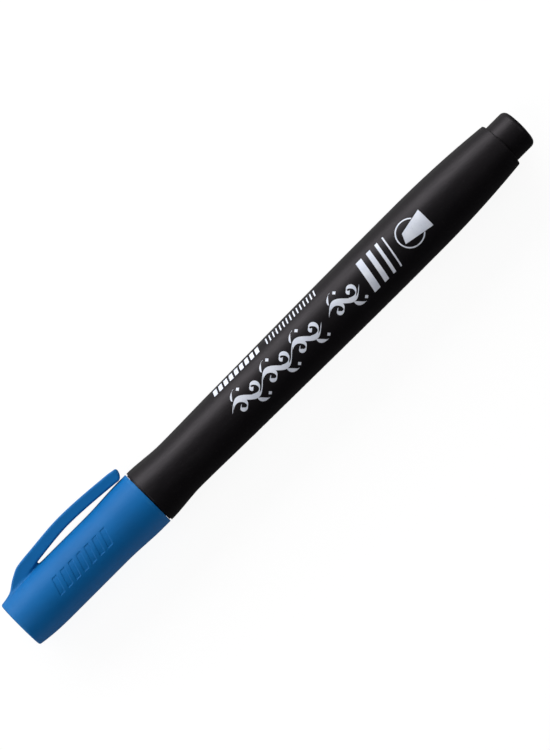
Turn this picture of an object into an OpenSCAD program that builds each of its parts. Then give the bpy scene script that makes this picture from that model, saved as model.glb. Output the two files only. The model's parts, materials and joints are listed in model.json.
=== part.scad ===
// Calligraphy marker with a chisel nib, a pull-off cap and a moulded pocket clip.
// It lies along +X, from the cap's flat crown at the origin to the domed tail plug.
// The clip is on the +Y side. All sizes are in millimetres.

/* [Nib] */
// Width of the line that the chisel nib draws
nib_width = 3.0; // [2:0.1:4]
// Thickness of the nib's flat stick
nib_thickness = 2.0; // [1.6:0.1:2.4]
// Length of nib that stands out of the front section
nib_exposed = 6.2; // [5:0.1:9]
// Length of nib pushed into the ink reservoir
nib_insert = 8; // [5:0.5:12]
// Thickness left at the chisel edge
nib_edge = 0.5; // [0.4:0.1:0.8]
// Length of the chisel's bevels
nib_bevel = 4.2; // [3:0.1:4.8]
// Rounding of the chisel's two corners
nib_corner = 0.25; // [0.1:0.05:0.5]
// Length of the bevels on the end that sits in the reservoir
nib_point = 2.5; // [1:0.1:3]

/* [Ink reservoir] */
// Diameter of the ink reservoir over its film
reservoir_diameter = 7.5; // [6.4:0.1:9]
// Thickness of the film round the reservoir
film_thickness = 0.1; // [0.08:0.01:0.3]

/* [Barrel] */
// Length of the barrel, from its front edge to its shoulder
barrel_length = 98.6; // [82:0.1:120]
// Height of the inner ribs that hold the reservoir
rib_height = 0.45; // [0.3:0.05:0.8]
// Thickness of each inner rib
rib_thickness = 0.8; // [0.5:0.1:1.2]
// Number of inner ribs
rib_count = 6; // [3:1:8]
// Wall at the waist of the grip
waist_wall = 1.59; // [1:0.01:1.8]
// Wall behind the grip
grip_wall = 1.79; // [1.5:0.01:2.1]
// Wall at the belly, the thickest part
belly_wall = 2.2; // [2:0.01:2.8]
// Wall at the shoulder, where the barrel ends
shoulder_wall = 1.01; // [0.9:0.01:1.8]
// Distance of the waist from the barrel's front edge
waist_place = 8.8; // [7:0.1:12]
// Distance of the end of the grip from the barrel's front edge
grip_place = 21.8; // [18:0.1:28]
// Length of the belly's straight stretch
belly_length = 6; // [2:0.5:12]
// Length of the curved taper from the belly to the shoulder
taper_length = 23.3; // [16:0.1:28]
// Chamfer on the barrel's front edge
front_chamfer = 0.12; // [0.1:0.02:0.3]
// Step from the barrel's front edge down to the stop ring that the cap closes against
stop_step = 0.4; // [0.3:0.05:0.8]
// Rounding of the shoulder's edge
shoulder_round = 0.35; // [0.2:0.05:0.5]

/* [Tail plug] */
// How far the tail boss covers the barrel's end, past the bore
boss_cover = 0.25; // [0.15:0.05:0.6]
// Length of the tail boss to the start of its dome
boss_length = 5.3; // [4:0.1:8]
// Height of the dome on the tail's end
dome_height = 0.3; // [0.2:0.05:0.6]
// Rounding between the boss and the dome
boss_round = 1.2; // [0.6:0.1:1.6]
// Depth of the plug's shank in the barrel
shank_length = 6; // [4:0.5:9]
// Wall of the hollow tail plug
plug_wall = 1.0; // [0.8:0.1:1.4]

/* [Front section] */
// Depth of the section's plug in the barrel
section_depth = 12; // [9:0.5:16]
// Length of the collar that guides the cap
collar_length = 9; // [7:0.1:11]
// How far the collar stands out past the barrel's bore
collar_step = 0.75; // [0.5:0.05:0.9]
// Step from the collar down to the seal land
seal_step = 1.0; // [0.7:0.05:1.1]
// Length of the seal land
seal_length = 4; // [3:0.1:5]
// Length of the tapered nose
nose_length = 7.3; // [6:0.1:8]
// Wall of the nose round the nib's corners
nose_wall = 1.1; // [0.7:0.05:1.2]
// Rounding of the nose's front edge
nose_round = 0.4; // [0.2:0.05:0.6]
// Height of the two snap rings on the collar
snap_height = 0.25; // [0.15:0.05:0.4]
// Length of each snap ring
snap_length = 1.4; // [1:0.1:1.8]
// Width of the air channel beside the nib
vent_width = 0.8; // [0.5:0.1:1]
// Depth of the air channel beside the nib
vent_depth = 0.45; // [0.3:0.05:0.6]

/* [Cap] */
// Free length between the nib's edge and the inner cap's base
nib_space = 6.7; // [5:0.1:14]
// Wall of the cap at its mouth
mouth_wall = 1.1; // [0.9:0.05:1.6]
// Wall of the cap round the inner cap
cap_wall = 1.16; // [1:0.01:1.8]
// Length of the flare towards the mouth
flare_length = 9.5; // [5:0.1:11]
// Length of the straight lip behind the mouth
lip_length = 2; // [1:0.1:3]
// Thickness of the crown
crown_thickness = 1.6; // [1.2:0.1:2.4]
// Length over which the crown end narrows
crown_length = 9; // [6:0.1:11]
// How much the radius narrows towards the crown
crown_drop = 0.62; // [0.3:0.01:0.8]
// Rounding of the crown's edge
crown_round = 0.45; // [0.2:0.05:0.6]
// Rounding of the mouth's outer edge
mouth_round = 0.12; // [0.1:0.02:0.3]
// Depth of the groove that the snap ring rests in
groove_depth = 0.12; // [0.08:0.01:0.2]
// Wall of the inner cap
liner_wall = 0.8; // [0.6:0.05:1.2]
// Thickness of the inner cap's base
liner_base = 1.0; // [0.6:0.1:1.6]

/* [Clip] */
// Width of the clip
clip_width = 4.0; // [3:0.1:5]
// Width of the web under the clip's root
web_width = 2.6; // [1.8:0.1:2.9]
// Thickness of the clip's arm
clip_thickness = 2.4; // [1.8:0.05:2.9]
// Distance from the crown to the start of the clip's root
root_setback = 2.6; // [2:0.1:4]
// Distance from the start of the root to the clip's hinge line
root_length = 8.8; // [7.5:0.1:10]
// Distance from the mouth back to the clip's tip
tip_setback = 0.25; // [0.1:0.05:3]
// Place of the arch's top, as a share of the way from the hinge line to the heel
arch_place = 0.42; // [0.3:0.02:0.6]
// Gap under the arm at the root
root_gap = 0.5; // [0.3:0.05:1]
// Gap under the arm at the top of its arch
arch_gap = 1.34; // [0.8:0.02:2]
// Gap between the clip's heel and the cap's mouth
heel_gap = 0.18; // [0.1:0.02:0.4]
// Length of the slanted nose in front of the heel
tip_length = 2.35; // [1.8:0.05:3]
// How far the outer line falls from the heel to the tip
tip_fall = 0.28; // [0.1:0.02:0.5]
// Rounding of the tip's outer corner
tip_round = 0.6; // [0.4:0.05:0.8]
// Rounding of the heel
heel_round = 0.6; // [0.3:0.05:0.8]
// Rounding of the tip's two corners, seen from outside
tip_corner = 1.3; // [0.6:0.1:1.5]

/* [Clearances] */
// Gap between the cap's mouth and the barrel's front edge when the cap is on
seam_gap = 0.3; // [0.2:0.05:0.6]
// Gap between the cap's mouth and the barrel's stop ring when the cap is on
stop_gap = 0.1; // [0.05:0.01:0.15]
// Radial clearance where the cap slides on the front section
slide_clearance = 0.05; // [0.03:0.01:0.1]
// Radial clearance of the parts that are pressed together
press_clearance = 0.02; // [0.01:0.01:0.04]
// Radial clearance between the ribs and the reservoir's film
rib_clearance = 0.03; // [0.02:0.01:0.1]
// Radial clearance at the clip's hinge line
hinge_clearance = 0.05; // [0.03:0.01:0.1]

/* [Hidden] */
$fn = 96;
curve_steps = 6;
eps = 0.01;
lead_in = 0.3;

cap_blue = [0.07, 0.38, 0.66];
barrel_black = [0.09, 0.085, 0.09];
section_black = [0.13, 0.13, 0.14];
liner_white = [0.86, 0.89, 0.92];
fibre_white = [0.93, 0.92, 0.88];
film_grey = [0.75, 0.8, 0.85];

// Radii, from the reservoir outwards
film_r = reservoir_diameter / 2;
core_r = film_r - film_thickness;
rib_r = film_r + rib_clearance;
bore_r = rib_r + rib_height;
collar_r = bore_r + collar_step;
seal_r = collar_r - seal_step;
nose_r = norm([nib_width, nib_thickness]) / 2 + nose_wall;
snap_r = collar_r + snap_height;
liner_bore_r = seal_r + slide_clearance;
liner_r = liner_bore_r + liner_wall;
cap_deep_r = liner_r + press_clearance;
cap_bore_r = snap_r + slide_clearance;
cap_r = cap_deep_r + cap_wall;
mouth_r = cap_bore_r + mouth_wall;
front_r = mouth_r;
stop_r = front_r - stop_step;
waist_r = bore_r + waist_wall;
grip_r = bore_r + grip_wall;
belly_r = bore_r + belly_wall;
shoulder_r = bore_r + shoulder_wall;
boss_r = bore_r + boss_cover;

// Places along the marker, from the crown to the tail. The cap is as long as what it holds
nib_tip = crown_thickness + liner_base + nib_space;
nose_x = nib_tip + nib_exposed;
seal_x = nose_x + nose_length;
collar_x = seal_x + seal_length;
barrel_x = collar_x + collar_length;
cap_length = barrel_x - seam_gap;
stop_x = cap_length + stop_gap;
section_end = barrel_x + section_depth;
shoulder_x = barrel_x + barrel_length;
reservoir_end = shoulder_x - shank_length;
nib_end = section_end + nib_insert;
liner_mouth = collar_x - seal_length / 3;
cap_step = collar_x - snap_length / 2;
snap_places = [barrel_x - 0.28 * collar_length, barrel_x - 0.75 * collar_length];
rib_start = section_end + 1;
rib_end = reservoir_end - 0.5;

// Places and heights of the clip
root_x = root_setback;
hinge_x = root_x + root_length;
hinge_y = cap_r + root_gap + clip_thickness / 2;
hinge_r = clip_thickness / 3;
hinge_slot = 0.3;
tip_x = cap_length - tip_setback;
heel_x = tip_x - tip_length;
heel_y = mouth_r + heel_gap;
arch_x = hinge_x + arch_place * (heel_x - hinge_x);
root_floor = cap_deep_r + 0.4 * cap_wall;
root_slope = 0.6;
tip_slope = -0.12;

// Height of the clip's outer line: through the root, over the arch and down to the tip
clip_line = [
    [root_x, crown_radius(root_x) - 0.08],
    [root_x + 0.32 * root_length, cap_r + 0.6 * clip_thickness],
    [root_x + 0.6 * root_length, cap_r + 1.04 * clip_thickness],
    [hinge_x, cap_r + root_gap + clip_thickness],
    [arch_x, cap_r + arch_gap + clip_thickness],
    [heel_x, heel_y + clip_thickness],
    [tip_x - tip_round, heel_y + clip_thickness - tip_fall]
];

// Slope of a station line at station i, flat at its peaks and hollows
function step_slope(p, i) = (p[i + 1].y - p[i].y) / (p[i + 1].x - p[i].x);
function slope(p, i, first, last) =
    i == 0 ? first
    : i == len(p) - 1 ? last
    : step_slope(p, i - 1) * step_slope(p, i) <= 0 ? 0
    : 2 * step_slope(p, i - 1) * step_slope(p, i) / (step_slope(p, i - 1) + step_slope(p, i));

// Point at share t of the curve between stations i and i + 1
function between(p, i, t, first, last) =
    let (w = p[i + 1].x - p[i].x, s = t * t * (3 - 2 * t))
    [
        p[i].x + t * w,
        p[i].y * (1 - s) + p[i + 1].y * s
            + t * (1 - t) * (1 - t) * w * slope(p, i, first, last)
            - t * t * (1 - t) * w * slope(p, i + 1, first, last)
    ];

// Smooth line through stations, which are [place, height] pairs
function smooth(p, first = 0, last = 0) = concat(
    [for (i = [0 : len(p) - 2], k = [0 : curve_steps - 1]) between(p, i, k / curve_steps, first, last)],
    [p[len(p) - 1]]
);

// Arc of points round a centre, from one angle to another
function arc(centre, r, from, to, n = 6) =
    [for (k = [0 : n]) let (a = from + (to - from) * k / n) centre + r * [cos(a), sin(a)]];

// Turns an outline of [place, radius] points about the marker's axis
module turned(outline) {
    rotate([0, 90, 0])
        rotate_extrude()
            polygon([for (p = outline) [p.y, p.x]]);
}

// Solid disc or rod along the marker's axis
module rod(from, to, r) {
    translate([from, 0, 0])
        rotate([0, 90, 0])
            cylinder(h = to - from, r = r);
}

// Outline drawn in the clip's side view, with a width across it
module side_plate(outline, width) {
    linear_extrude(height = width, center = true)
        polygon(outline);
}

// Outline of the crown end: a rounded edge, then the curve that widens to the straight part
function crown_radius(x) = cap_r - crown_drop * pow(1 - min(x / crown_length, 1), 2.5);
function crown_line() = concat(
    arc([crown_round, crown_radius(crown_round) - crown_round], crown_round, 180, 90),
    [for (k = [1 : 8]) let (x = crown_round + (crown_length - crown_round) * k / 8) [x, crown_radius(x)]]
);

module cap_shell() {
    flare_x = cap_length - lip_length - flare_length;
    color(cap_blue)
        difference() {
            union() {
                turned(concat(
                    [[0, 0]],
                    crown_line(),
                    smooth([[flare_x, cap_r], [cap_length - lip_length, mouth_r]]),
                    arc([cap_length - mouth_round, mouth_r - mouth_round], mouth_round, 90, 0),
                    [[cap_length, 0]]
                ));
                clip_root();
            }
            rod(crown_thickness, cap_length + 1, cap_deep_r);
            rod(cap_step, cap_length + 1, cap_bore_r);
            snap_groove();
            translate([hinge_x, hinge_y, 0])
                cylinder(h = clip_width + 2, r = hinge_r + hinge_clearance, center = true);
        }
}

// Raised root that carries the clip: wide like the arm above, a narrower web below
module clip_root() {
    end = hinge_x - hinge_slot;
    outer = [for (p = smooth(clip_line, root_slope, tip_slope)) if (p.x < end - eps) p];
    end_y = hinge_y + clip_thickness / 2;
    under_y = hinge_y - clip_thickness / 2;
    side_plate(concat([[root_x, root_floor]], outer, [[end, end_y], [end, under_y],
        [hinge_x - 0.4 * root_length, cap_r - 0.1], [hinge_x - 0.5 * root_length, root_floor]]), clip_width);
    side_plate(concat([[root_x, root_floor]], outer, [[end, end_y], [end, under_y],
        [end - 0.2, cap_r + root_gap / 2], [end - 0.2, root_floor]]), web_width);
}

// Groove inside the cap that takes the rear snap ring
module snap_groove() {
    x = snap_places[0];
    half = snap_length / 2;
    turned([[x - half, 0], [x - half, cap_bore_r], [x - half / 2, cap_bore_r + groove_depth],
        [x + half / 2, cap_bore_r + groove_depth], [x + half, cap_bore_r], [x + half, 0]]);
}

module pocket_clip() {
    line = smooth(clip_line, root_slope, tip_slope);
    outer = [for (p = line) if (p.x > hinge_x + eps && p.x < tip_x - tip_round) p];
    under = [for (i = [len(outer) - 1 : -1 : 0]) if (outer[i].x < heel_x) outer[i] - [0, clip_thickness]];
    nose_y = heel_y + clip_thickness - tip_fall - tip_round;
    color(cap_blue) {
        intersection() {
            side_plate(concat(
                [[hinge_x, hinge_y + clip_thickness / 2]],
                outer,
                arc([tip_x - tip_round, nose_y], tip_round, 90, -40),
                arc([heel_x + heel_round / 2, heel_y + heel_round], heel_round, -50, -90),
                under,
                [[hinge_x, hinge_y - clip_thickness / 2]]
            ), clip_width);
            clip_plan();
        }
        translate([hinge_x, hinge_y, 0])
            cylinder(h = clip_width, r = hinge_r, center = true);
    }
}

// Plan of the clip, seen from outside: straight sides and a tip with round corners
module clip_plan() {
    from = hinge_x - 3;
    rotate([-90, 0, 0])
        linear_extrude(height = 2 * belly_r + 10)
            polygon(concat(
                [[from, -clip_width / 2]],
                arc([tip_x - tip_corner, tip_corner - clip_width / 2], tip_corner, -90, 0),
                arc([tip_x - tip_corner, clip_width / 2 - tip_corner], tip_corner, 0, 90),
                [[from, clip_width / 2]]
            ));
}

module inner_cap() {
    x = crown_thickness;
    color(liner_white)
        turned([[x, 0], [x, liner_r - lead_in], [x + lead_in, liner_r], [liner_mouth, liner_r],
            [liner_mouth, liner_bore_r + lead_in / 2], [liner_mouth - lead_in, liner_bore_r],
            [x + liner_base, liner_bore_r], [x + liner_base, 0]]);
}

// Radius of the taper from the belly to the shoulder, a shallow arc
function taper_radius(x) = belly_r - (belly_r - shoulder_r) * pow(x / taper_length, 2);

module barrel() {
    taper_x = shoulder_x - taper_length;
    taper_steps = 12;
    round_x = taper_length - shoulder_round;
    color(barrel_black)
        difference() {
            turned(concat(
                [[stop_x, 0], [stop_x, stop_r], [barrel_x, stop_r],
                    [barrel_x, front_r - front_chamfer]],
                smooth([
                    [barrel_x + front_chamfer, front_r],
                    [barrel_x + waist_place, waist_r],
                    [barrel_x + grip_place, grip_r],
                    [taper_x - belly_length, belly_r]
                ]),
                [for (k = [0 : taper_steps])
                    let (x = round_x * k / taper_steps) [taper_x + x, taper_radius(x)]],
                arc([shoulder_x - shoulder_round, taper_radius(round_x) - shoulder_round],
                    shoulder_round, 75, 0, 4),
                [[shoulder_x, 0]]
            ));
            rod(barrel_x - 1, shoulder_x + 1, bore_r);
            rod(barrel_x - 1, barrel_x, collar_r + press_clearance);
        }
    color(barrel_black)
        barrel_ribs();
}

// Ribs along the bore that hold the reservoir on the axis and leave air round it
module barrel_ribs() {
    length = rib_end - rib_start;
    for (k = [0 : rib_count - 1])
        rotate([360 * k / rib_count, 0, 0])
            translate([rib_start, -rib_thickness / 2, rib_r])
                cube([length, rib_thickness, rib_height + 0.3]);
}

module tail_plug() {
    boss_end = shoulder_x + boss_length;
    cup_end = boss_end - plug_wall;
    shank_r = bore_r - press_clearance;
    dome_r = boss_r - boss_round;
    dome_sphere = (dome_r * dome_r + dome_height * dome_height) / (2 * dome_height);
    dome_angle = asin(dome_r / dome_sphere);
    color(barrel_black)
        turned(concat(
            [[reservoir_end, shank_r - plug_wall], [reservoir_end, shank_r - lead_in],
                [reservoir_end + lead_in, shank_r], [shoulder_x, shank_r], [shoulder_x, boss_r]],
            arc([boss_end - boss_round, boss_r - boss_round], boss_round, 90, dome_angle),
            arc([boss_end + dome_height - dome_sphere, 0], dome_sphere, dome_angle, 0),
            [[cup_end, 0], [cup_end, shank_r - plug_wall]]
        ));
}

// Flat slot through the front section for the nib, with an air channel on each flat side
module nib_slot() {
    width = nib_width + 2 * press_clearance;
    height = nib_thickness + 2 * press_clearance;
    length = section_end - nose_x + 2;
    translate([nose_x - 1, -height / 2, -width / 2])
        cube([length, height, width]);
    translate([nose_x - 1, -height / 2 - vent_depth, -vent_width / 2])
        cube([length, height + 2 * vent_depth, vent_width]);
}

module front_section() {
    plug_r = bore_r - press_clearance;
    half = snap_length / 2;
    rings = [
        for (x = [snap_places[1], snap_places[0]])
            each [[x - half, collar_r], [x - half / 3, snap_r], [x + half / 3, snap_r], [x + half, collar_r]]
    ];
    color(section_black)
        difference() {
            turned(concat(
                [[nose_x, 0]],
                arc([nose_x + nose_round, nose_r - nose_round], nose_round, 180, 110, 4),
                [[seal_x, seal_r], [collar_x, seal_r], [collar_x + lead_in, collar_r]],
                rings,
                [[barrel_x, collar_r], [barrel_x, plug_r], [section_end - lead_in, plug_r],
                    [section_end, plug_r - lead_in], [section_end, 0]]
            ));
            nib_slot();
        }
}

module chisel_nib() {
    half = nib_thickness / 2;
    edge = nib_edge / 2;
    color(fibre_white)
        intersection() {
            side_plate([[nib_tip, -edge], [nib_tip + nib_bevel, -half], [nib_end - nib_point, -half],
                [nib_end, -edge], [nib_end, edge], [nib_end - nib_point, half],
                [nib_tip + nib_bevel, half], [nib_tip, edge]], nib_width);
            rotate([90, 0, 0])
                linear_extrude(height = 2 * nib_thickness, center = true)
                    polygon(concat(
                        arc([nib_tip + nib_corner, nib_corner - nib_width / 2], nib_corner, -180, -90),
                        [[nib_end, -nib_width / 2], [nib_end, nib_width / 2]],
                        arc([nib_tip + nib_corner, nib_width / 2 - nib_corner], nib_corner, 90, 180)
                    ));
        }
}

module ink_reservoir() {
    color(fibre_white)
        difference() {
            rod(section_end, reservoir_end, core_r);
            chisel_nib();
        }
}

module reservoir_film() {
    color(film_grey)
        difference() {
            rod(section_end, reservoir_end, film_r);
            rod(section_end - 1, reservoir_end + 1, core_r);
        }
}

cap_shell();
pocket_clip();
inner_cap();
barrel();
tail_plug();
front_section();
chisel_nib();
ink_reservoir();
reservoir_film();
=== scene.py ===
"""A calligraphy marker lying along +X: a blue cap with its clip on the +Y side, a black barrel, pale print.

Lengths are in millimetres until a mesh is made. A turned piece is an outline of (x, r) points,
and an angle about the marker is counted from +Z towards +Y.
"""

import json
import math

import bmesh
import bpy
import numpy as np
from mathutils import Matrix, Vector

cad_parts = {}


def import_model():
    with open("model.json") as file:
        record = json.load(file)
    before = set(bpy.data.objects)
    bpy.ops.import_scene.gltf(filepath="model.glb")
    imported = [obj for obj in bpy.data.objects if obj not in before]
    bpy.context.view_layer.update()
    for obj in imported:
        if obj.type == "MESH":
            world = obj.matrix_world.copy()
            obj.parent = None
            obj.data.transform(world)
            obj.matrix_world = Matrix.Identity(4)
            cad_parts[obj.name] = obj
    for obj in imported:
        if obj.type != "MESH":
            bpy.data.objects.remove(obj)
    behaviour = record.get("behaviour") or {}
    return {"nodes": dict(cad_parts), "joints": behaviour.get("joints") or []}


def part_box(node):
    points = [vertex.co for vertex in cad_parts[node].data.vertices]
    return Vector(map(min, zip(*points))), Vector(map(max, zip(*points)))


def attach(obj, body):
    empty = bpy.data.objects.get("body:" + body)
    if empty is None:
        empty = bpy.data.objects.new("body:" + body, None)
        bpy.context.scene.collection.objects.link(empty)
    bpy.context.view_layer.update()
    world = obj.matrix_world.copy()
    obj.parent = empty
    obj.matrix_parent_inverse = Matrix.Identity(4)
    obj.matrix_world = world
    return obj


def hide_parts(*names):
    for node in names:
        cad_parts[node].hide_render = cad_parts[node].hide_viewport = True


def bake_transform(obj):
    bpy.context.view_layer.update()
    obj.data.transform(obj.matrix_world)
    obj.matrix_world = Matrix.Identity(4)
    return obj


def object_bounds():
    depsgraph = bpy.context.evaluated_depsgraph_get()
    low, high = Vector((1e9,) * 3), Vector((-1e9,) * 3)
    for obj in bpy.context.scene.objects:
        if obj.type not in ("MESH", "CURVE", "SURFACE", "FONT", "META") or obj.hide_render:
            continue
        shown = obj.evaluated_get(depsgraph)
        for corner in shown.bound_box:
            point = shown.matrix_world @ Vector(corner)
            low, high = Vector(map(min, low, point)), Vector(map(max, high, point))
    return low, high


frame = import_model()
cad_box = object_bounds()

MM = 0.001


def node_box(node):
    """Lowest and highest corner of a CAD node, in millimetres."""
    low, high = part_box(node)
    return low / MM, high / MM


# Sizes and places that come from the frame
cap_high = node_box("cap_shell")[1]
clip_high = node_box("pocket_clip")[1]
liner_low, liner_high = node_box("inner_cap")
barrel_low, barrel_high = node_box("barrel")
tail_low, tail_high = node_box("tail_plug")
section_low, section_high = node_box("front_section")
nib_low, nib_high = node_box("chisel_nib")
hinge_x, hinge_y, _ = (value / MM for value in frame["joints"][1]["pos_m"])

cap_length, mouth_r = cap_high.x, cap_high.z
stop_x, shoulder_x, belly_r = barrel_low.x, barrel_high.x, barrel_high.z
barrel_x = cap_length + 0.3
boss_r = tail_high.z
tip_x = clip_high.x
snap_r = section_high.z

# Clearances between pieces
PRESS_CLEARANCE = 0.02
SNAP_CLEARANCE = 0.05

# Cap
CAP_R = 6.01
CROWN_DROP = 0.62
CROWN_LENGTH = 9.0
CROWN_ROUND = 0.45
LIP_LENGTH = 2.0
FLARE_LENGTH = 9.5
CAP_DEEP_R = liner_high.z + PRESS_CLEARANCE
CAP_BORE_R = snap_r + SNAP_CLEARANCE
CAP_STEP = 26.1
CROWN_FLOOR = liner_low.x

# Clip
CLIP_THICKNESS = 2.4
CLIP_WIDTH = 4.0
WEB_WIDTH = 2.6
ROOT_X = 2.6
ROOT_LENGTH = hinge_x - ROOT_X
HEEL_X = tip_x - 2.35
HEEL_Y = mouth_r + 0.18
ARCH_X = hinge_x + 0.42 * (HEEL_X - hinge_x)
ROOT_LIFT = 0.18
TIP_ROUND = 0.6

# Barrel
BORE_R = 4.23
PLUG_R = BORE_R - PRESS_CLEARANCE
STOP_STEP = 0.4
MOUTH_ROUND = 0.12
WAIST = (barrel_x + 8.8, BORE_R + 1.59)
GRIP = (barrel_x + 21.8, BORE_R + 1.79)
TAPER_LENGTH = 23.3
BELLY_LENGTH = 6.0
SHOULDER_R = BORE_R + 1.01
RIB_R = 3.78
RIB_COUNT = 6
RIB_WIDTH = 0.8

# Front section
COLLAR_R = 4.98
SEAL_R = 3.98
SEAL_X = 22.8
COLLAR_X = 26.8
NOSE_R = 2.903
SNAP_PLACES = (29.05, 33.28)
SNAP_LENGTH = 1.4


# ---------------------------------------------------------------- curves and outlines


def through(stations, x, first=0.0, last=0.0):
    """Height at x of a smooth line through (place, height) stations, flat at its peaks and hollows."""
    place, height = np.array(stations, float).T
    step = np.diff(height) / np.diff(place)
    slope = np.zeros(len(place))
    same = step[:-1] * step[1:] > 0
    total = np.where(same, step[:-1] + step[1:], 1)
    slope[1:-1] = np.where(same, 2 * step[:-1] * step[1:] / total, 0)
    slope[0], slope[-1] = first, last
    x = np.asarray(x, float)
    i = np.clip(np.searchsorted(place, x, side="right") - 1, 0, len(step) - 1)
    width = place[i + 1] - place[i]
    t = np.clip((x - place[i]) / width, 0, 1)
    s = t * t * (3 - 2 * t)
    bend = t * (1 - t) * width * ((1 - t) * slope[i] - t * slope[i + 1])
    past = np.where(x < place[0], (x - place[0]) * first, 0)
    past = np.where(x > place[-1], (x - place[-1]) * last, past)
    return height[i] * (1 - s) + height[i + 1] * s + bend + past


def cap_radius(x):
    """Outer radius of the cap: it narrows towards the crown and flares towards the mouth."""
    x = np.asarray(x, float)
    crown = CROWN_DROP * (1 - np.clip(x / CROWN_LENGTH, 0, 1)) ** 2.5
    t = np.clip((x - (cap_length - LIP_LENGTH - FLARE_LENGTH)) / FLARE_LENGTH, 0, 1)
    return CAP_R - crown + (mouth_r - CAP_R) * t * t * (3 - 2 * t)


def barrel_radius(x):
    """Outer radius of the barrel: front, waist, grip and belly, then a shallow arc to the shoulder."""
    x = np.asarray(x, float)
    taper_x = shoulder_x - TAPER_LENGTH
    stations = [(barrel_x + 0.12, mouth_r), WAIST, GRIP, (taper_x - BELLY_LENGTH, belly_r)]
    line = through(stations, x)
    past = np.clip((x - taper_x) / TAPER_LENGTH, 0, 1)
    return line - (belly_r - SHOULDER_R) * past**2


def rounded(corners, steps=5):
    """Outline through (x, r) corners. A corner with a third number is rounded to that radius."""
    points = []
    for i, corner in enumerate(corners):
        here = np.array(corner[:2], float)
        if len(corner) == 2:
            points.append(here)
            continue
        before = np.array(corners[i - 1][:2], float) - here
        after = np.array(corners[(i + 1) % len(corners)][:2], float) - here
        reach = min(np.linalg.norm(before), np.linalg.norm(after)) * 0.49
        before /= np.linalg.norm(before)
        after /= np.linalg.norm(after)
        half = math.acos(np.clip(before @ after, -1, 1)) / 2
        cut = min(corner[2] / math.tan(half), reach)
        middle = (before + after) / np.linalg.norm(before + after)
        centre = here + middle * cut / math.cos(half)
        start = here + before * cut - centre
        end = here + after * cut - centre
        sweep = math.pi - 2 * half
        for k in range(steps + 1):
            share = k / steps
            part = math.sin((1 - share) * sweep) * start + math.sin(share * sweep) * end
            points.append(centre + part / math.sin(sweep))
    return points


# ---------------------------------------------------------------- meshes


def piece(name, points, faces, material, body, sharp=35):
    """Mesh object from points in millimetres, welded, shaded smooth up to an angle, riding on a body."""
    mesh = bpy.data.meshes.new(name)
    mesh.from_pydata((np.asarray(points, float) * MM).tolist(), [], np.asarray(faces).tolist())
    work = bmesh.new()
    work.from_mesh(mesh)
    bmesh.ops.remove_doubles(work, verts=work.verts, dist=1e-4 * MM)
    bmesh.ops.dissolve_degenerate(work, edges=work.edges, dist=1e-5 * MM)
    bmesh.ops.recalc_face_normals(work, faces=work.faces)
    work.to_mesh(mesh)
    work.free()
    mesh.shade_smooth()
    mesh.set_sharp_from_angle(angle=math.radians(sharp))
    obj = bpy.data.objects.new(name, mesh)
    bpy.context.scene.collection.objects.link(obj)
    mesh.materials.append(material)
    if body:
        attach(obj, body)
    return obj


def plain_object(name, points, faces):
    """Object made straight from points in metres, linked to the scene."""
    mesh = bpy.data.meshes.new(name)
    mesh.from_pydata(points, [], faces)
    obj = bpy.data.objects.new(name, mesh)
    bpy.context.scene.collection.objects.link(obj)
    return obj


def evaluated_mesh(obj, sharp=35):
    """Gives a piece the mesh that its modifiers make, shaded smooth up to an angle, and takes them off."""
    bpy.context.view_layer.update()
    graph = bpy.context.evaluated_depsgraph_get()
    mesh = bpy.data.meshes.new_from_object(obj.evaluated_get(graph))
    obj.modifiers.clear()
    obj.data = mesh
    mesh.shade_smooth()
    mesh.set_sharp_from_angle(angle=math.radians(sharp))


def even_turn(count=192):
    """Angles of a turned piece's lines, evenly spread."""
    return np.arange(count) * 2 * math.pi / count


def turned(outline, angles, relief=None):
    """Points and faces of a closed outline turned about the X axis. relief is cut off the radius."""
    outline = np.array(outline, float)
    x, angle = np.meshgrid(outline[:, 0], angles, indexing="ij")
    r = np.repeat(outline[:, 1:], len(angles), 1)
    if relief:
        r = r - relief(x, r, angle)
    points = np.stack([x, r * np.sin(angle), r * np.cos(angle)], -1).reshape(-1, 3)
    return points, wrap_faces(len(outline), len(angles))


def wrap_faces(rows, columns):
    """Quads of a grid that closes on itself both ways."""
    i, j = np.meshgrid(np.arange(rows), np.arange(columns), indexing="ij")
    i2, j2 = (i + 1) % rows, (j + 1) % columns
    quads = [i * columns + j, i * columns + j2, i2 * columns + j2, i2 * columns + j]
    return np.stack(quads, -1).reshape(-1, 4)


def joined(parts):
    """Points and faces of several meshes as one."""
    points, faces, count = [], [], 0
    for part_points, part_faces in parts:
        points.append(np.asarray(part_points, float))
        faces.append(np.asarray(part_faces) + count)
        count += len(part_points)
    return np.concatenate(points), np.concatenate(faces)


def bar(low, high, turn=0.0):
    """Points and faces of a box between two corners, turned about the X axis."""
    xs, ys, zs = zip(low, high)
    points = np.array([[x, y, z] for x in xs for y in ys for z in zs])
    c, s = math.cos(turn), math.sin(turn)
    points = points @ np.array([[1, 0, 0], [0, c, s], [0, -s, c]])
    faces = [[0, 1, 3, 2], [4, 6, 7, 5], [0, 4, 5, 1], [2, 3, 7, 6], [0, 2, 6, 4], [1, 5, 7, 3]]
    return points, np.array(faces)


# ---------------------------------------------------------------- materials


RIM_REACH = 0.35


def rgb(red, green, blue):
    """Linear colour of an sRGB one given from 0 to 255."""

    def linear(v):
        v /= 255
        return v / 12.92 if v <= 0.04045 else ((v + 0.055) / 1.055) ** 2.4

    return (linear(red), linear(green), linear(blue), 1)


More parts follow.
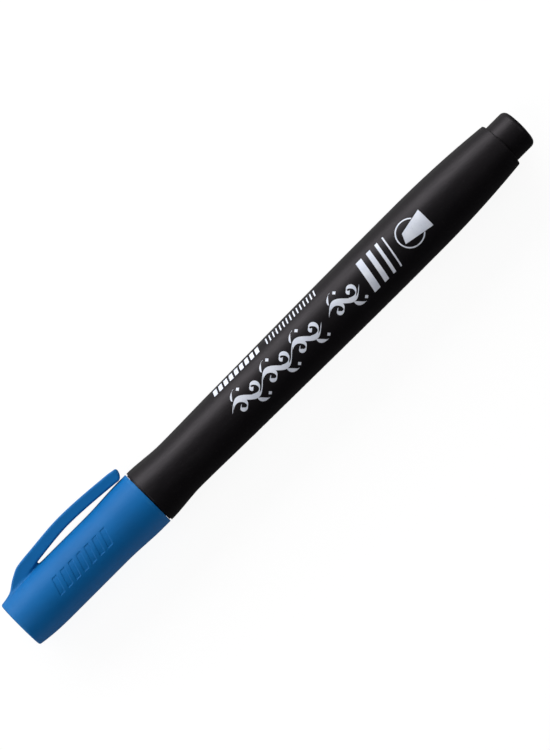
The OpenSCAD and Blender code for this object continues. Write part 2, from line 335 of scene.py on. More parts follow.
class Nodes:
    """A material's node tree, with its object coordinates and its shader."""

    def __init__(self, name):
        self.material = bpy.data.materials.new(name)
        self.material.use_nodes = True
        self.tree = self.material.node_tree
        self.shader = self.tree.nodes["Principled BSDF"]
        self.place = self.tree.nodes.new("ShaderNodeTexCoord").outputs["Object"]

    def link(self, source, target):
        """Joins an output to an input."""
        self.tree.links.new(source, target)

    def stretched(self, along):
        """Object coordinates stretched by a scale for each axis."""
        node = self.tree.nodes.new("ShaderNodeMapping")
        node.inputs["Scale"].default_value = along
        self.link(self.place, node.inputs["Vector"])
        return node.outputs["Vector"]

    def noise(self, size, detail=3.0, place=None):
        """Noise whose features are about size millimetres across."""
        node = self.tree.nodes.new("ShaderNodeTexNoise")
        node.inputs["Scale"].default_value = 1 / (size * MM)
        node.inputs["Detail"].default_value = detail
        self.link(place or self.place, node.inputs["Vector"])
        return node.outputs["Fac"]

    def spread(self, value, low, high, start=0.3, end=0.7):
        """A value from 0 to 1, taken to the range from low to high."""
        node = self.tree.nodes.new("ShaderNodeMapRange")
        for socket, number in zip(("From Min", "From Max", "To Min", "To Max"), (start, end, low, high)):
            node.inputs[socket].default_value = number
        self.link(value, node.inputs["Value"])
        return node.outputs["Result"]

    def mixed(self, share, first, second):
        """Colour between two others. Each is a colour or a socket."""
        colour_a, colour_b, colour_out = 6, 7, 2     # the node's colour sockets, whose names aren't unique
        node = self.tree.nodes.new("ShaderNodeMix")
        node.data_type = "RGBA"
        self.link(share, node.inputs["Factor"])
        for socket, colour in ((node.inputs[colour_a], first), (node.inputs[colour_b], second)):
            if isinstance(colour, tuple):
                socket.default_value = colour
            else:
                self.link(colour, socket)
        return node.outputs[colour_out]

    def close_to(self, x, reach):
        """1 at a place along the marker, falling to 0 within a reach of it, both in millimetres."""
        split = self.tree.nodes.new("ShaderNodeSeparateXYZ")
        self.link(self.place, split.inputs["Vector"])
        away = self.tree.nodes.new("ShaderNodeMath")
        away.operation = "SUBTRACT"
        away.inputs[1].default_value = x * MM
        self.link(split.outputs["X"], away.inputs[0])
        size = self.tree.nodes.new("ShaderNodeMath")
        size.operation = "ABSOLUTE"
        self.link(away.outputs[0], size.inputs[0])
        return self.spread(size.outputs[0], 1, 0, 0, reach * MM)

    def product(self, first, second):
        """One value times another."""
        node = self.tree.nodes.new("ShaderNodeMath")
        node.operation = "MULTIPLY"
        self.link(first, node.inputs[0])
        self.link(second, node.inputs[1])
        return node.outputs[0]

    def bump(self, height, depth, normal=None):
        """Normal of a surface whose height varies by depth millimetres."""
        node = self.tree.nodes.new("ShaderNodeBump")
        node.inputs["Strength"].default_value = 1
        node.inputs["Distance"].default_value = depth * MM
        self.link(height, node.inputs["Height"])
        if normal:
            self.link(normal, node.inputs["Normal"])
        return node.outputs["Normal"]


def moulded(name, colour, shade, worn, roughness, grain=0.2, grain_depth=0.004, specular=0.5,
            sheen=(1, 1, 1, 1), dust=0.35, rims=()):
    """Moulded plastic: cloudy colour, fine grain, soft flow marks, small scuffs and paler handled rims."""
    nodes = Nodes(name)
    cloud = nodes.noise(9, 2)
    speckle = nodes.noise(0.35, 2)
    tint = nodes.mixed(nodes.spread(cloud, 0, 1), colour, shade)
    tint = nodes.mixed(nodes.spread(speckle, 0, dust, 0.62, 0.8), tint, worn)
    patch = nodes.spread(nodes.noise(1.6, 4), 0, 0.22, 0.4, 0.7)
    for x in rims:
        tint = nodes.mixed(nodes.product(nodes.close_to(x, RIM_REACH), patch), tint, worn)
    nodes.link(tint, nodes.shader.inputs["Base Color"])
    scuff = nodes.noise(0.5, 4, nodes.stretched((0.12, 1, 1)))
    rough = nodes.spread(scuff, roughness - 0.04, roughness + 0.05)
    nodes.link(rough, nodes.shader.inputs["Roughness"])
    flow = nodes.bump(nodes.noise(5, 2, nodes.stretched((0.35, 1, 1))), 0.003)
    nodes.link(nodes.bump(nodes.noise(grain, 4), grain_depth, flow), nodes.shader.inputs["Normal"])
    nodes.shader.inputs["Specular IOR Level"].default_value = specular
    nodes.shader.inputs["Specular Tint"].default_value = sheen
    return nodes.material


def fibre(name, dark, pale, run, roughness=0.75):
    """Pressed fibre soaked with ink. run is the scale along each axis that draws the fibres out."""
    nodes = Nodes(name)
    place = nodes.stretched(run)
    strands = nodes.noise(0.12, 5, place)
    soak = nodes.noise(1.5, 3)
    share = nodes.product(nodes.spread(strands, 0, 1, 0.35, 0.7), nodes.spread(soak, 0.4, 1))
    nodes.link(nodes.mixed(share, dark, pale), nodes.shader.inputs["Base Color"])
    nodes.link(nodes.spread(strands, roughness - 0.12, roughness + 0.1), nodes.shader.inputs["Roughness"])
    nodes.link(nodes.bump(strands, 0.03), nodes.shader.inputs["Normal"])
    nodes.shader.inputs["Specular IOR Level"].default_value = 0.35
    return nodes.material


def film(name):
    """Thin clear wrap round the reservoir, with faint wrinkles."""
    nodes = Nodes(name)
    wrinkle = nodes.noise(1.2, 4, nodes.stretched((0.3, 1, 1)))
    nodes.link(nodes.mixed(nodes.spread(wrinkle, 0, 1), rgb(196, 206, 218), rgb(160, 178, 204)),
               nodes.shader.inputs["Base Color"])
    nodes.link(nodes.spread(wrinkle, 0.12, 0.3), nodes.shader.inputs["Roughness"])
    nodes.link(nodes.bump(wrinkle, 0.03), nodes.shader.inputs["Normal"])
    nodes.shader.inputs["Coat Weight"].default_value = 0.3
    return nodes.material


def print_ink(name):
    """Silver-white screen print: slightly uneven cover and a dry, fine-grained face."""
    nodes = Nodes(name)
    cover = nodes.noise(0.25, 4)
    weave = nodes.noise(2.5, 2)
    tint = nodes.mixed(nodes.spread(weave, 0, 1), rgb(222, 226, 236), rgb(206, 212, 226))
    tint = nodes.mixed(nodes.spread(cover, 0, 0.5, 0.6, 0.8), tint, rgb(150, 156, 172))
    nodes.link(tint, nodes.shader.inputs["Base Color"])
    nodes.link(nodes.spread(cover, 0.5, 0.7), nodes.shader.inputs["Roughness"])
    nodes.link(nodes.bump(cover, 0.006), nodes.shader.inputs["Normal"])
    nodes.shader.inputs["Specular IOR Level"].default_value = 0.4
    return nodes.material


cap_plastic = moulded("cap_plastic", rgb(2, 101, 168), rgb(2, 96, 161), rgb(60, 140, 195), 0.5,
                      specular=0.2, dust=0.08, rims=(0.25, tip_x - 0.3, cap_length))
barrel_plastic = moulded("barrel_plastic", rgb(6, 4, 6), rgb(4, 3, 5), rgb(40, 38, 42), 0.42,
                         grain=0.28, grain_depth=0.013, specular=0.3, sheen=(1, 0.93, 1, 1), dust=0.5,
                         rims=(barrel_x, shoulder_x, tail_high.x - 0.6))
section_plastic = moulded("section_plastic", rgb(34, 34, 37), rgb(27, 27, 30), rgb(90, 90, 95), 0.28,
                          grain=0.3, grain_depth=0.002)
liner_plastic = moulded("liner_plastic", rgb(226, 232, 238), rgb(214, 222, 231), rgb(242, 246, 250), 0.45)
nib_fibre = fibre("nib_fibre", rgb(16, 44, 108), rgb(60, 104, 178), (0.12, 1, 1))
reservoir_fibre = fibre("reservoir_fibre", rgb(20, 52, 118), rgb(74, 118, 190), (0.06, 1, 1), 0.85)
film_plastic = film("film_plastic")
ink = print_ink("print_ink")


# ---------------------------------------------------------------- cap


def bars_cut(x, r, angle):
    """Depth of the row of plain slanted bars pressed into the cap's side."""
    count, pitch, width, height, depth, edge = 7, 2.2, 1.15, 3.6, 0.12, 0.06
    start, middle, slant = 11.0, 0.3, 0.3
    wrap = (angle + math.pi) % (2 * math.pi) - math.pi
    side = r * wrap - middle
    along = x - start - slant * side
    nearest = np.clip(np.round(along / pitch), 0, count - 1)
    off_line = np.abs(along - nearest * pitch) * math.cos(slant)
    gap = np.maximum(off_line - width / 2, np.abs(side) - height / 2)
    share = np.clip(0.5 - gap / (2 * edge), 0, 1)
    return depth * share * share * (3 - 2 * share) * (r > CAP_BORE_R)


def cap_body():
    """Outer shell of the cap, with its stepped bore, snap groove and pressed bars."""
    x = np.concatenate([np.linspace(CROWN_ROUND, 9.6, 24)[1:], np.arange(9.7, 25.3, 0.08),
                        np.linspace(25.4, cap_length - 0.3, 36)])
    outer = [(px, float(cap_radius(px))) for px in x]
    crown_r = float(cap_radius(CROWN_ROUND))
    crown = [(CROWN_ROUND * (1 - math.cos(a)), crown_r - CROWN_ROUND * (1 - math.sin(a)))
             for a in np.linspace(0, math.pi / 2, 7)]
    gate = [(0.16, 0), (0.16, 0.7), (0.06, 0.85), (0, 1.0)]
    mouth = rounded([(cap_length - 0.3, mouth_r), (cap_length, mouth_r, MOUTH_ROUND),
                     (cap_length, CAP_BORE_R, MOUTH_ROUND), (cap_length - 1, CAP_BORE_R)])[1:]
    groove_x, half, groove_r = SNAP_PLACES[1], SNAP_LENGTH / 2, CAP_BORE_R + 0.12
    groove = [(groove_x + half, CAP_BORE_R), (groove_x + half / 2, groove_r),
              (groove_x - half / 2, groove_r), (groove_x - half, CAP_BORE_R)]
    bore = rounded([(CAP_STEP + 1, CAP_BORE_R), (CAP_STEP, CAP_BORE_R, 0.1), (CAP_STEP, CAP_DEEP_R, 0.08),
                    (CROWN_FLOOR, CAP_DEEP_R, 0.2), (CROWN_FLOOR, 0)])
    outline = gate + crown + outer + mouth + groove + bore
    facing = np.radians(np.arange(-24, 30.1, 0.75))
    rest = np.radians(np.arange(32, 334.1, 2.0))
    points, faces = turned(outline, np.concatenate([facing, rest]), bars_cut)
    obj = piece("cap_body", points, faces, cap_plastic, "cap", 40)
    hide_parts("cap_shell")
    return obj


def inner_cap():
    """Milky liner inside the cap that seals on the front section."""
    bore = 4.03
    base = liner_low.x + 1.0
    start, end, outer_r = liner_low.x, liner_high.x, liner_high.z
    outline = rounded([(start, 0), (start, outer_r, 0.3), (end, outer_r, 0.1), (end, bore + 0.2, 0.06),
                       (end - 0.3, bore, 0.1), (base, bore, 0.4), (base, 0)])
    points, faces = turned(outline, even_turn(128))
    obj = piece("inner_cap_liner", points, faces, liner_plastic, "cap")
    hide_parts("inner_cap")
    return obj


# ---------------------------------------------------------------- clip


def clip_line(x):
    """Height of the clip's outer line: through the root, over the arch and down to the tip."""
    stations = [
        (ROOT_X, float(cap_radius(ROOT_X)) - 0.08),
        (ROOT_X + 0.32 * ROOT_LENGTH, CAP_R + 0.66 * CLIP_THICKNESS),
        (ROOT_X + 0.6 * ROOT_LENGTH, CAP_R + 1.12 * CLIP_THICKNESS),
        (hinge_x, hinge_y + CLIP_THICKNESS / 2 + ROOT_LIFT),
        (ARCH_X, CAP_R + 1.34 + CLIP_THICKNESS),
        (HEEL_X, HEEL_Y + CLIP_THICKNESS),
        (tip_x - TIP_ROUND, HEEL_Y + CLIP_THICKNESS - 0.28),
    ]
    return through(stations, x, 0.6, -0.12)


def both(a, b, r):
    """Distance to what two shapes share, with the edge between them rounded to r."""
    return np.minimum(np.maximum(a, b), -r) + np.hypot(np.maximum(a + r, 0), np.maximum(b + r, 0))


def either(a, b, k):
    """Distance to two shapes together, with a fillet of about k where they meet."""
    h = np.maximum(k - np.abs(a - b), 0) / k
    return np.minimum(a, b) - h * h * k / 4


def clip_distance(x, y, z):
    """Distance to the clip and its root, below zero inside them."""
    step = 0.01
    outer = clip_line(x)
    steep = np.hypot(1, (clip_line(x + step) - outer) / step)
    under_root = hinge_y - CLIP_THICKNESS / 2 - 0.19 * (hinge_x - x)
    thick = CLIP_THICKNESS + ROOT_LIFT * np.clip((ARCH_X - x) / (ARCH_X - hinge_x), 0, 1)
    under = np.where(x > hinge_x, outer - thick, under_root)
    top = (y - outer) / steep
    bottom = (under - y) / np.minimum(steep, 1.1)
    nose = 0.78 * (x - tip_x + 0.02) - 0.62 * (y - HEEL_Y - 1.2)    # the slanting cut under the tip
    end = x - tip_x
    side = both(both(both(top, end, TIP_ROUND), nose, 0.6), bottom, 0.55)
    plan = both(np.abs(z) - CLIP_WIDTH / 2, end, 1.3)
    arm = both(side, plan, 0.42)
    web = both(np.abs(z) - WEB_WIDTH / 2, x - hinge_x + 0.5, 0.3)
    web = np.maximum(np.maximum(web, y - outer + 0.8), ROOT_X + 1.5 - x)
    return either(arm, web, 0.35)


def cap_distance(x, y, z):
    """Distance to the outside of the cap."""
    return np.hypot(y, z) - cap_radius(x)


def clip_on_cap(x, y, z):
    """Distance to the cap and the clip together, with a fillet round the root."""
    near = np.clip((x - hinge_x - 1) / 2, 0, 1)
    clip, cap = clip_distance(x, y, z), cap_distance(x, y, z)
    return np.where(near >= 1, clip, either(clip, cap, 0.7))


def surface_net(distance, low, high, step):
    """Points and faces of the surface where a distance is zero: one point in each cell that it crosses."""
    axes = [np.arange(a, b, step) for a, b in zip(low, high)]
    field = distance(*np.meshgrid(*axes, indexing="ij"))
    inside = field < 0
    shape = np.array(field.shape) - 1
    corners = [np.array([i, j, k]) for i in (0, 1) for j in (0, 1) for k in (0, 1)]
    at_corner = [inside[tuple(slice(c[n], c[n] + shape[n]) for n in range(3))] for c in corners]
    mixed = np.any(at_corner, 0) & ~np.all(at_corner, 0)
    number = np.full(mixed.shape, -1)
    number[mixed] = np.arange(mixed.sum())
    cells = np.argwhere(mixed)
    total, count = np.zeros((len(cells), 3)), np.zeros(len(cells))
    for a in corners:
        for b in corners:
            if (b - a).sum() == 1 and np.abs(b - a).sum() == 1:
                at_a, at_b = field[tuple((cells + a).T)], field[tuple((cells + b).T)]
                crossed = (at_a < 0) != (at_b < 0)
                share = np.where(crossed, at_a / np.where(crossed, at_a - at_b, 1), 0)
                total += crossed[:, None] * (a + share[:, None] * (b - a))
                count += crossed
    points = np.array(low) + step * (cells + total / count[:, None])
    faces = []
    for axis in range(3):
        u, v = np.eye(3, dtype=int)[(axis + 1) % 3], np.eye(3, dtype=int)[(axis + 2) % 3]
        ahead = np.take(inside, range(1, field.shape[axis]), axis)
        behind = np.take(inside, range(0, field.shape[axis] - 1), axis)
        edge = np.argwhere(ahead != behind)
        fits = np.all((edge >= u + v) & (edge < shape), 1)
        edge = edge[fits]
        quad = np.stack([number[tuple((edge - d).T)] for d in (u + v, v, 0 * u, u)], -1)
        turn = ahead[tuple(edge.T)]
        quad[turn] = quad[turn][:, ::-1]
        faces.append(quad)
    return points, np.concatenate(faces)


def settled(points, distance, rounds=4, step=1e-3):
    """Points moved onto the surface where a distance is zero."""
    for _ in range(rounds):
        here = distance(*points.T)
        slope = np.stack([(distance(*(points + d).T) - distance(*(points - d).T)) / (2 * step)
                          for d in np.eye(3) * step], -1)
        points = points - slope * (here / np.maximum((slope**2).sum(1), 0.05))[:, None]
    return points


def clip_skin():
    """Clip in one piece with its root, which blends into the cap."""
    step = 0.1
    points, faces = surface_net(clip_on_cap, (1.5, 4.9, -2.95), (tip_x + 0.35, 10.1, 3.0), step)
    points = settled(points, clip_on_cap)
    lift = cap_distance(*points.T)
    stands_out = lift[faces].max(1) > 0.006
    faces = faces[stands_out]
    used = np.unique(faces)
    renumber = np.zeros(len(points), int)
    renumber[used] = np.arange(len(used))
    obj = piece("clip_skin", points[used], renumber[faces], cap_plastic, None, 50)
    close_under(obj)
    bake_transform(obj)
    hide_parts("pocket_clip")
    return obj


def close_under(obj, depth=0.3):
    """Closes the clip where it meets the cap: walls down into the cap's side and a floor between them."""
    work = bmesh.new()
    work.from_mesh(obj.data)
    rim = [e for e in work.edges if e.is_boundary]
    made = bmesh.ops.extrude_edge_only(work, edges=rim)["geom"]
    lower = [v for v in made if isinstance(v, bmesh.types.BMVert)]
    for v in lower:
        out = Vector((0, v.co.y, v.co.z)).normalized()
        v.co -= out * depth * MM
    rim = [e for e in work.edges if e.is_boundary]
    bmesh.ops.holes_fill(work, edges=rim, sides=0)
    bmesh.ops.triangulate(work, faces=[f for f in work.faces if len(f.verts) > 4])
    bmesh.ops.recalc_face_normals(work, faces=work.faces)
    work.to_mesh(obj.data)
    work.free()
    obj.data.shade_smooth()
    obj.data.set_sharp_from_angle(angle=math.radians(50))


# ---------------------------------------------------------------- barrel, tail plug, front section and nib


def barrel():
    """Barrel with its waisted grip and tapered rear, and the ribs that hold the reservoir."""
    inner_r, stop_r = COLLAR_R + PRESS_CLEARANCE, mouth_r - STOP_STEP
    ring_x, ring_round = stop_x - 0.05, 0.05     # nearer the cap's mouth, so less light shows between them
    front = rounded([(barrel_x, BORE_R), (barrel_x, inner_r), (ring_x, inner_r, ring_round),
                     (ring_x, stop_r, ring_round), (barrel_x, stop_r), (barrel_x, mouth_r, MOUTH_ROUND),
                     (barrel_x + 0.5, mouth_r)])[:-1]
    edge_x = shoulder_x - 0.45
    x = np.linspace(barrel_x + 0.2, edge_x, 150)
    outer = [(px, float(barrel_radius(px))) for px in x]
    shoulder = rounded([(edge_x, float(barrel_radius(edge_x))), (shoulder_x, SHOULDER_R, 0.35),
                        (shoulder_x, BORE_R, 0.1), (shoulder_x - 1, BORE_R)])[1:]
    shell = turned(front + outer + shoulder, even_turn())
    rib_low = (section_high.x + 1, -RIB_WIDTH / 2, RIB_R)
    rib_high = (tail_low.x - 0.5, RIB_WIDTH / 2, BORE_R + 0.3)
    ribs = [bar(rib_low, rib_high, k * 2 * math.pi / RIB_COUNT) for k in range(RIB_COUNT)]
    points, faces = joined([shell, *ribs])
    obj = piece("barrel_shell", points, faces, barrel_plastic, "pen")
    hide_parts("barrel")
    return obj


def tail_plug():
    """Hollow plug in the barrel's end, with a round-edged boss that shows behind the shoulder."""
    wall, dome, corner = 1.0, 0.3, 1.2
    end = tail_high.x
    cup_end = end - dome - wall
    edge = rounded([(tail_low.x, PLUG_R - wall, 0.1), (tail_low.x, PLUG_R, 0.3), (shoulder_x, PLUG_R),
                    (shoulder_x, boss_r, 0.08), (end - dome, boss_r, corner), (end - dome, 1)], 8)[:-1]
    flat_r = boss_r - corner
    top = [(end - dome * (r / flat_r) ** 2, r) for r in np.linspace(flat_r, 0.9, 6)[1:]]
    gate = [(end - 0.02, 0.75), (end - 0.12, 0.6), (end - 0.12, 0)]
    cup = [(cup_end, 0), (cup_end, PLUG_R - wall - 0.5), (cup_end - 0.5, PLUG_R - wall)]
    points, faces = turned(edge + top + gate + cup, even_turn())
    obj = piece("tail_plug_body", points, faces, barrel_plastic, "pen")
    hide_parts("tail_plug")
    return obj


def cut_away(obj, *cutters):
    """Cuts other meshes out of a piece, leaving no modifier on it."""
    for cutter in cutters:
        modifier = obj.modifiers.new("cut", "BOOLEAN")
        modifier.operation = "DIFFERENCE"
        modifier.solver = "EXACT"
        modifier.object = cutter
    evaluated_mesh(obj)
    for cutter in cutters:
        bpy.data.objects.remove(cutter)


def cutting_box(name, low, high):
    """Plain box that cuts a slot, removed once it has."""
    points, faces = bar(low, high)
    return plain_object(name, (points * MM).tolist(), faces.tolist())


def front_section():
    """Section that holds the nib: tapered nose, seal land, collar with two snap rings, and a plug."""
    nose_x = section_low.x
    half = SNAP_LENGTH / 2
    rings = []
    for x in SNAP_PLACES:
        rings += [(x - half, COLLAR_R, 0.3), (x - half / 3, snap_r, 0.25), (x + half / 3, snap_r, 0.25),
                  (x + half, COLLAR_R, 0.3)]
    outline = rounded([(nose_x, 0), (nose_x, NOSE_R, 0.4), (SEAL_X, SEAL_R, 1.0),
                       (COLLAR_X, SEAL_R, 0.12), (COLLAR_X + 0.3, COLLAR_R, 0.25), *rings,
                       (barrel_x, COLLAR_R, 0.1), (barrel_x, PLUG_R), (section_high.x, PLUG_R, 0.4),
                       (section_high.x, 0)], 6)
    points, faces = turned(outline, even_turn(160))
    obj = piece("front_section_body", points, faces, section_plastic, "pen")
    thick, wide = nib_high.y + PRESS_CLEARANCE, nib_high.z + PRESS_CLEARANCE
    start, end = nose_x - 1, section_high.x + 1
    vent_depth, vent_half = 0.45, 0.4
    vent_y = thick + vent_depth
    slot = cutting_box("nib_slot", (start, -thick, -wide), (end, thick, wide))
    vents = cutting_box("vent_slot", (start, -vent_y, -vent_half), (end, vent_y, vent_half))
    cut_away(obj, slot, vents)
    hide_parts("front_section")
    return obj


def chisel_nib():
    """Flat nib of pressed fibre, bevelled on both sides to a chisel edge, with soft edges."""
    half, edge = nib_high.y, 0.25
    bevel, point = 4.2, 2.5
    tip, back = nib_low.x, nib_high.x
    lower = [(tip, -edge), (tip + bevel, -half), (back - point, -half), (back, -edge)]
    side = lower + [(x, -y) for x, y in reversed(lower)]
    count = len(side)
    points = [(x * MM, y * MM, z * MM) for z in (-nib_high.z, nib_high.z) for x, y in side]
    faces = [list(range(count)), list(range(2 * count - 1, count - 1, -1))]
    faces += [[k, k + count, (k + 1) % count + count, (k + 1) % count] for k in range(count)]
    obj = plain_object("chisel_nib_body", points, faces)
    soft = obj.modifiers.new("soft_edges", "BEVEL")
    soft.width = 0.2 * MM
    soft.segments = 4
    soft.limit_method = "ANGLE"
    soft.angle_limit = math.radians(40)
    evaluated_mesh(obj)
    obj.data.materials.append(nib_fibre)
    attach(obj, "pen")
    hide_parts("chisel_nib")
    return obj


# ---------------------------------------------------------------- print


PRINT_LIFT = 0.025


def on_barrel(x, arc, lift):
    """Points at a place along the barrel and an arc length round it, a lift above its surface."""
    r = barrel_radius(x)
    angle = arc / r
    return np.stack([x, (r + lift) * np.sin(angle), (r + lift) * np.cos(angle)], -1)


def printed(left, right, columns=2):
    """Points and faces of a thin printed strip between two lines of (x, arc) points."""
    left, right = np.array(left, float), np.array(right, float)
    share = np.linspace(0, 1, columns + 1)[None, :, None]
    flat = left[:, None] * (1 - share) + right[:, None] * share
    rows, wide = flat.shape[:2]
    top = on_barrel(flat[..., 0], flat[..., 1], PRINT_LIFT).reshape(-1, 3)
    bottom = on_barrel(flat[..., 0], flat[..., 1], -PRINT_LIFT).reshape(-1, 3)
    i, j = np.meshgrid(np.arange(rows - 1), np.arange(wide - 1), indexing="ij")
    first = (i * wide + j)[..., None]
    quads = (first + [0, 1, wide + 1, wide]).reshape(-1, 4)
    rim = ([(0, c) for c in range(wide)] + [(r, wide - 1) for r in range(1, rows)]
           + [(rows - 1, c) for c in range(wide - 2, -1, -1)] + [(r, 0) for r in range(rows - 2, 0, -1)])
    rim = np.array([r * wide + c for r, c in rim])
    after = np.roll(rim, -1)
    under = rows * wide
    walls = np.stack([rim, after, after + under, rim + under], -1)
    return np.concatenate([top, bottom]), np.concatenate([quads, quads[:, ::-1] + under, walls])


def stroke(x, arc, pen=1.0, hair=0.16, slope=40):
    """Strip that a broad pen leaves along a line: pen wide across its edge, hair wide along it."""
    line = np.stack([np.asarray(x, float), np.asarray(arc, float)], -1)
    along = np.gradient(line, axis=0)
    along /= np.linalg.norm(along, axis=1)[:, None]
    normal = np.stack([-along[:, 1], along[:, 0]], -1)
    edge = np.array([math.cos(math.radians(slope)), math.sin(math.radians(slope))])
    across = normal @ edge
    half = np.hypot(pen * across, hair)[:, None] / 2
    end = np.clip(4 * np.abs(np.linspace(-1, 1, len(line))) - 3, 0, 1)[:, None]
    shear = along * ((along @ edge) * np.sign(across))[:, None] * end * pen / 2
    return printed(line + normal * half + shear, line - normal * half - shear)


def lozenge(x, arc, size=0.75, slope=40):
    """Diamond that a broad pen leaves when it is set down."""
    a, b = math.radians(slope), math.radians(slope + 90)
    u = np.array([math.cos(a), math.sin(a)]) * size / 2
    v = np.array([math.cos(b), math.sin(b)]) * size / 2
    at = np.array([x, arc])
    return printed([at - u - v, at + u - v], [at - u + v, at + u + v])


def scroll(x, arc, size, start, turns, steps=56):
    """Line of a curl that winds inwards from its start angle, in (x, arc)."""
    share = np.linspace(0, 1, steps)
    angle = math.radians(start) + share * turns * 2 * math.pi
    r = size * (1 - 0.86 * share**0.8)
    return x + r * np.cos(angle), arc + r * np.sin(angle)


def print_piece(name, parts):
    """One printed piece on the barrel."""
    points, faces = joined(parts)
    return piece(name, points, faces, ink, "pen", 40)


def leaf(x, arc, along, up, width):
    """Pointed leaf that leans from a point, swollen in its middle."""
    share = np.linspace(0, 1, 18)
    line = np.stack([x + along * share**1.4, arc + up * np.sin(share * math.pi / 2)], -1)
    half = np.outer(np.sin(math.pi * share**0.8) * width / 2, (1, 0.45))
    return printed(line - half, line + half)


def vine(first, last, pitch, middle_arc=0.15):
    """Running stem with a curl in each of its swings, and a leaf and a lozenge outside each."""
    swing, curl, pen = 1.25, 1.75, 0.95
    x = np.linspace(first, last, int((last - first) * 10))
    parts = [stroke(x, middle_arc + swing * np.sin((x - first) * math.pi / pitch), pen)]
    for k in range(int(round((last - first) / pitch))):
        up = 1 if k % 2 == 0 else -1
        middle = first + (k + 0.5) * pitch
        curl_x, curl_arc = scroll(middle + 0.1, middle_arc - up * 0.62, curl, 140 * up, -1.05 * up)
        parts.append(stroke(curl_x, curl_arc, 0.85 * pen))
        parts.append(leaf(middle - 0.7, middle_arc + up * (swing + 0.25), 1.9, up * 1.75, 0.75))
        parts.append(lozenge(middle + 1.75, middle_arc + up * (swing + 1.35), 0.62))
    return parts


def size_gauge(first, last, low, high):
    """Slanted bars from broad to fine, in place of the line-width figure."""
    widths = (1.55, 1.1, 0.7, 0.35)
    lean = 0.18 * (high - low)
    gap = (last - first - lean - sum(widths)) / (len(widths) - 1)
    parts = []
    x = first
    for width in widths:
        s = np.linspace(low, high, 16)
        left = np.stack([x + lean * (s - low) / (high - low), s], -1)
        parts.append(printed(left, left + [width, 0], 3))
        x += width + gap
    return parts


def pictogram(x, arc, radius):
    """Ring with a plain wedge through it, for the chisel point."""
    turn = np.linspace(math.radians(40), math.radians(320), 90)
    ring = np.stack([x + radius * np.cos(turn), arc + radius * np.sin(turn)], -1)
    inner = np.stack([x + (radius - 0.28) * np.cos(turn), arc + (radius - 0.28) * np.sin(turn)], -1)
    s = np.linspace(-1, 1, 14)
    front, rear = x - 1.7, x + 4.4
    left = np.stack([front + 0.45 * s, arc + 1.0 * s], -1)
    right = np.stack([np.full(14, rear), arc + 2.2 * s], -1)
    return [printed(ring, inner, 1), printed(left, right, 6)]


def tick_row(first, last, low, high, width, pitch, lean=0.5):
    """Row of slanted ticks."""
    parts = []
    s = np.linspace(low, high, 10)
    for x in np.arange(first, last - width, pitch):
        left = np.stack([x + lean * (s - low) / (high - low), s], -1)
        parts.append(printed(left, left + [width, 0], 1))
    return parts


def dash_row(first, last, angle, height, shift):
    """Row of fine dashes, each second one short, at an angle round the barrel."""
    parts = []
    lengths = (1.5, 0.6)
    gap = 0.45
    x = first + shift
    k = 0
    while x + lengths[0] < last:
        length = lengths[k % 2]
        s = math.radians(angle) * float(barrel_radius(x)) + np.linspace(-height / 2, height / 2, 4)
        left = np.stack([np.full(4, x), s], -1)
        parts.append(printed(left, left + [length, 0], 2))
        x += length + gap
        k += 1
    return parts


def prints():
    """All the print on the barrel."""
    print_piece("print_flourish_long", vine(59.2, 83.6, 4.07))
    print_piece("print_flourish_short", vine(86.0, 94.1, 4.05))
    print_piece("print_gauge", size_gauge(95.6, 104.4, -3.1, 3.9))
    print_piece("print_pictogram", pictogram(108.7, 0.45, 3.06))
    bold = tick_row(58.8, 72.4, 5.5, 7.5, 0.95, 1.45)
    fine = tick_row(73.4, 87.4, 5.5, 7.5, 0.3, 0.95)
    print_piece("print_top_row", bold + fine)
    rows = []
    for k, angle in enumerate((-91, -101, -111, -121)):
        rows += dash_row(58.8, 108.0, angle, 0.42, 0.75 * (k % 2))
    print_piece("print_fine_rows", rows)


# ---------------------------------------------------------------- stage, lights and camera


def area_light(name, place, target, size, power):
    """Soft box at a place in millimetres, facing a target, with its long side along the marker."""
    data = bpy.data.lights.new(name, "AREA")
    data.shape = "RECTANGLE"
    data.size, data.size_y = size[0] * MM, size[1] * MM
    data.energy = power
    obj = bpy.data.objects.new(name, data)
    bpy.context.scene.collection.objects.link(obj)
    place, target = Vector(place) * MM, Vector(target) * MM
    back = (place - target).normalized()
    side = Vector((1, 0, 0))
    side = (side - back * side.dot(back)).normalized()
    up = back.cross(side)
    turn = Matrix((side, up, back)).transposed().to_4x4()
    obj.matrix_world = Matrix.Translation(place) @ turn
    return obj


def floor(height):
    """Plain pale floor that the marker lies on."""
    half = 6.0
    square = ((-half, -half), (half, -half), (half, half), (-half, half))
    obj = plain_object("floor", [(x, y, height) for x, y in square], [(0, 1, 2, 3)])
    nodes = Nodes("floor_paper")
    nodes.shader.inputs["Base Color"].default_value = (0.14, 0.14, 0.14, 1)
    nodes.shader.inputs["Roughness"].default_value = 0.9
    nodes.shader.inputs["Specular IOR Level"].default_value = 0.1
    nodes.shader.inputs["Emission Color"].default_value = (1, 1, 1, 1)
    nodes.shader.inputs["Emission Strength"].default_value = 0.91
    obj.data.materials.append(nodes.material)
    obj.visible_glossy = False


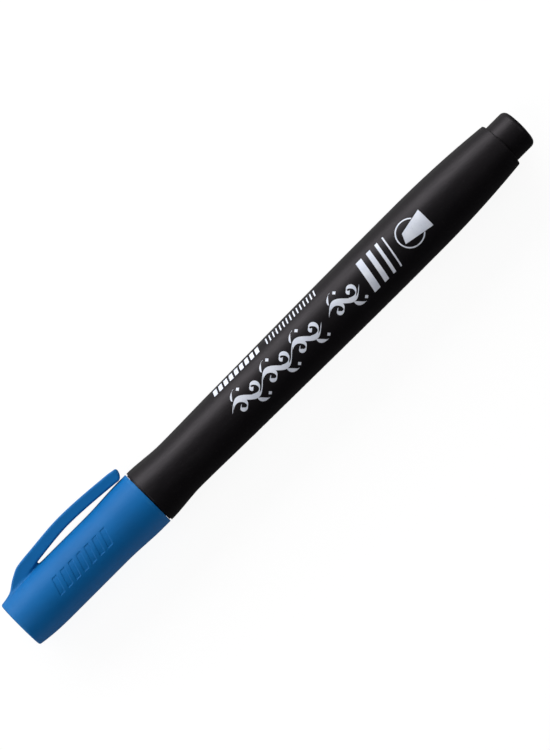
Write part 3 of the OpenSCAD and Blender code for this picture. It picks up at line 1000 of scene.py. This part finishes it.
def backdrop(height):
    """Pale wall all round, far off. It is only a background, and lights nothing."""
    radius, tall, count = 5.5, 4.0, 64
    turn = even_turn(count)
    ring = np.stack([radius * np.cos(turn), radius * np.sin(turn)], -1)
    points = [(x, y, z) for z in (height, tall) for x, y in ring]
    faces = [(k, (k + 1) % count, (k + 1) % count + count, k + count) for k in range(count)]
    faces.append(tuple(range(count, 2 * count)))
    obj = plain_object("backdrop", points, faces)
    nodes = Nodes("backdrop_paper")
    nodes.shader.inputs["Base Color"].default_value = (0, 0, 0, 1)
    nodes.shader.inputs["Emission Color"].default_value = (0.93, 0.93, 0.94, 1)
    nodes.shader.inputs["Emission Strength"].default_value = 1
    obj.data.materials.append(nodes.material)
    for ray in ("diffuse", "glossy", "transmission", "shadow"):
        setattr(obj, "visible_" + ray, False)


def world():
    """Dim studio around the marker, paler on the key light's side."""
    scene_world = bpy.data.worlds.new("studio")
    scene_world.use_nodes = True
    tree = scene_world.node_tree
    split = tree.nodes.new("ShaderNodeSeparateXYZ")
    tree.links.new(tree.nodes.new("ShaderNodeTexCoord").outputs["Generated"], split.inputs["Vector"])
    ramp = tree.nodes.new("ShaderNodeValToRGB")
    for element, place, level in zip(ramp.color_ramp.elements, (0.2, 0.8), (0.06, 0.55)):
        element.position = place
        element.color = (level, level, level, 1)
    tree.links.new(split.outputs["Y"], ramp.inputs["Fac"])
    tree.links.new(ramp.outputs["Color"], tree.nodes["Background"].inputs["Color"])
    bpy.context.scene.world = scene_world


def camera():
    """Camera above the marker, with the cap at the lower left and the tail at the upper right."""
    height, foot, aim, side = 880, 35.2, 70.4, -0.57
    frame_height, sensor = 148.2, 24
    data = bpy.data.cameras.new("camera")
    data.sensor_width = sensor
    data.lens = sensor * height / frame_height
    data.clip_start, data.clip_end = 0.01, 50
    obj = bpy.data.objects.new("camera", data)
    bpy.context.scene.collection.objects.link(obj)
    place, target = Vector((foot, side, height)), Vector((aim, side, 0))
    back = (place - target).normalized()
    up = Vector((1, 1, 0)).normalized()
    right = up.cross(back).normalized()
    up = back.cross(right)
    turn = Matrix((right, up, back)).transposed().to_4x4()
    obj.matrix_world = Matrix.Translation(place * MM) @ turn
    bpy.context.scene.camera = obj


cap_body()
clip_skin()
inner_cap()
barrel()
tail_plug()
front_section()
chisel_nib()
prints()
for node, material in (("ink_reservoir", reservoir_fibre), ("reservoir_film", film_plastic)):
    for slot in frame["nodes"][node].material_slots:
        slot.material = material

floor(cad_box[0].z)
world()
backdrop(cad_box[0].z)
middle = (70, 0, 0)
area_light("key", (70, 465, 200), middle, (900, 330), 3.3)
area_light("left_end", (-360, 0, 430), middle, (500, 500), 1.3)
area_light("right_end", (500, 0, 430), middle, (500, 500), 0.4)
camera()
bpy.context.scene.view_settings.view_transform = "Standard"
